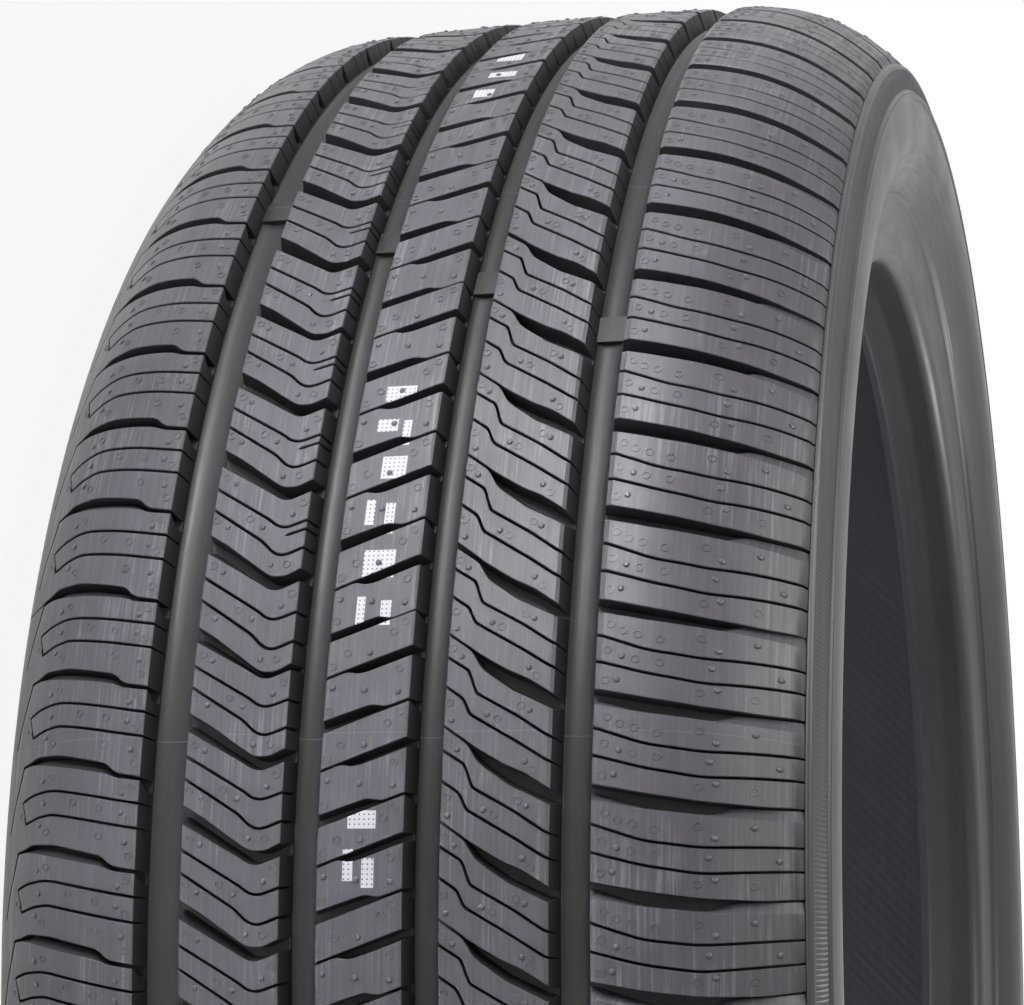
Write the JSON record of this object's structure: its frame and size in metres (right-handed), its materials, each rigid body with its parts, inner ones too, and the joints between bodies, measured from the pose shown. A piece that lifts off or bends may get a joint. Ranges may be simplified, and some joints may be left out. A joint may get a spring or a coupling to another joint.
{
  "type": "car tyre",
  "caption": "Low-profile passenger car tyre off its wheel, with a grooved and siped touring tread, rounded shoulders, plain sidewalls and open beads.",
  "frame": {"origin": "centre of the tyre, on the wheel axis and midway between the sidewalls", "axes": "+Z along the wheel axis, towards the sidewall that lies uppermost"},
  "size_m": [0.6786, 0.6786, 0.238],
  "materials": {
    "tyre_rubber": "moulded black rubber, satin"
  },
  "bodies": {
    "root": {"tyre": "tyre_rubber"}
  },
  "joints": []
}
